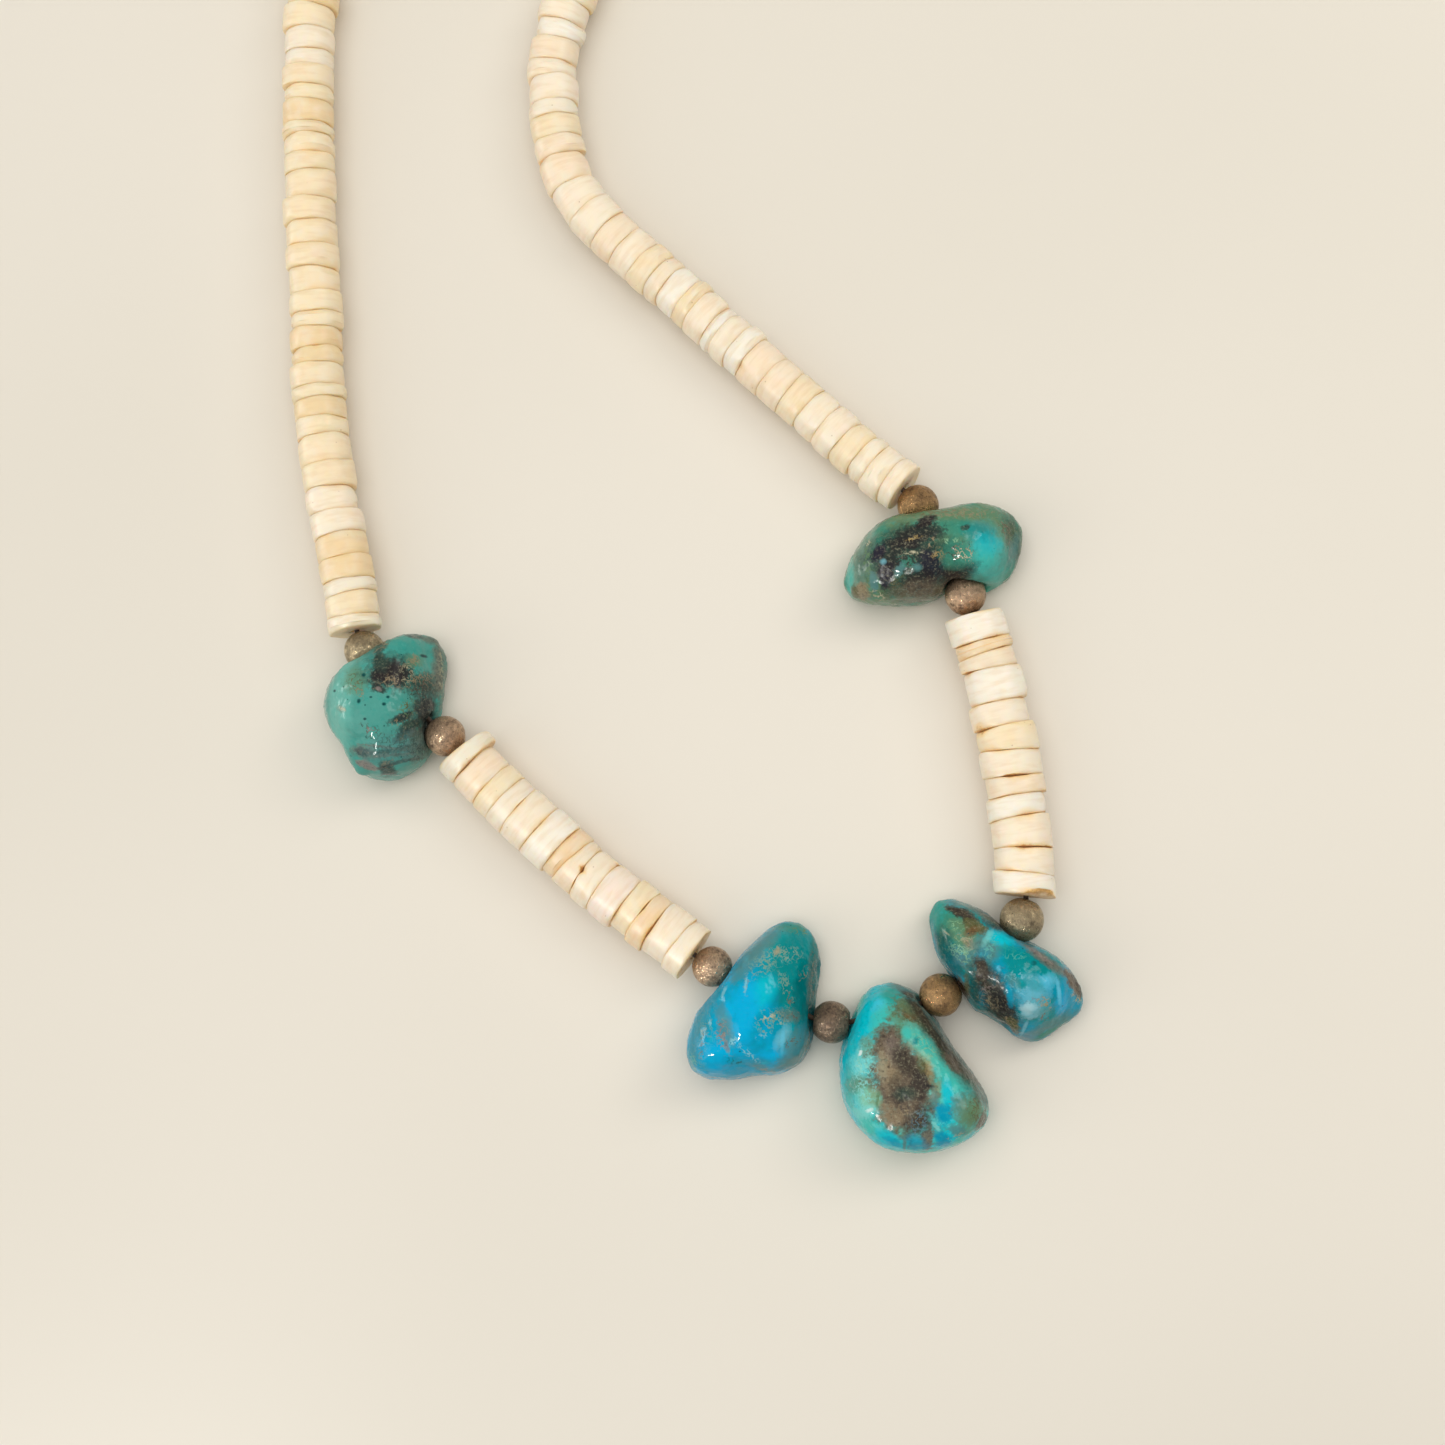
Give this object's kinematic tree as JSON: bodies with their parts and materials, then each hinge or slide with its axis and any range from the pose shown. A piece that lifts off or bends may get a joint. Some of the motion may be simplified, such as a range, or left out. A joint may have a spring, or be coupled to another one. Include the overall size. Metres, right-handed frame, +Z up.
{
  "type": "heishi bead necklace",
  "caption": "Necklace of flat shell heishi beads with polished turquoise nuggets set between small oxidised silver beads, laid out as a closed loop.",
  "frame": {"origin": "middle of the whole necklace's box, on the surface that it lies on", "axes": "+Z up from the surface, +Y from the centre nugget at the front to the clasp at the back, +X to the right as the picture shows it"},
  "size_m": [0.0994, 0.1916, 0.011],
  "materials": {
    "turquoise_center": "gloss",
    "turquoise_left_1": "gloss",
    "turquoise_right_1": "gloss",
    "turquoise_left_2": "gloss",
    "turquoise_right_2": "gloss",
    "oxidised_silver": "satin",
    "shell_front": "satin",
    "shell_strand": "satin",
    "thread": "matte",
    "clasp_silver": "satin"
  },
  "bodies": {
    "root": {"turquoise_center": "turquoise_center", "turquoise_left_1": "turquoise_left_1", "turquoise_left_2": "turquoise_left_2", "turquoise_right_1": "turquoise_right_1", "turquoise_right_2": "turquoise_right_2", "silver_bead_left_1": "oxidised_silver", "silver_bead_left_2": "oxidised_silver", "silver_bead_left_3": "oxidised_silver", "silver_bead_left_4": "oxidised_silver", "silver_bead_right_1": "oxidised_silver", "silver_bead_right_2": "oxidised_silver", "silver_bead_right_3": "oxidised_silver", "silver_bead_right_4": "oxidised_silver", "shell_disc_left_01": "shell_front", "shell_disc_left_02": "shell_front", "shell_disc_left_03": "shell_front", "shell_disc_left_04": "shell_front", "shell_disc_left_05": "shell_front", "shell_disc_left_06": "shell_front", "shell_disc_left_07": "shell_front", "shell_disc_left_08": "shell_front", "shell_disc_left_09": "shell_front", "shell_disc_left_10": "shell_front", "shell_disc_left_11": "shell_front", "shell_disc_left_12": "shell_front", "shell_disc_left_13": "shell_front", "shell_disc_left_14": "shell_front", "shell_disc_right_01": "shell_front", "shell_disc_right_02": "shell_front", "shell_disc_right_03": "shell_front", "shell_disc_right_04": "shell_front", "shell_disc_right_05": "shell_front", "shell_disc_right_06": "shell_front", "shell_disc_right_07": "shell_front", "shell_disc_right_08": "shell_front", "shell_disc_right_09": "shell_front", "shell_disc_right_10": "shell_front", "shell_disc_right_11": "shell_front", "shell_disc_right_12": "shell_front", "shell_strand_left": "shell_strand", "shell_strand_right": "shell_strand", "thread": "thread", "barrel_clasp": "clasp_silver"}
  },
  "joints": []
}
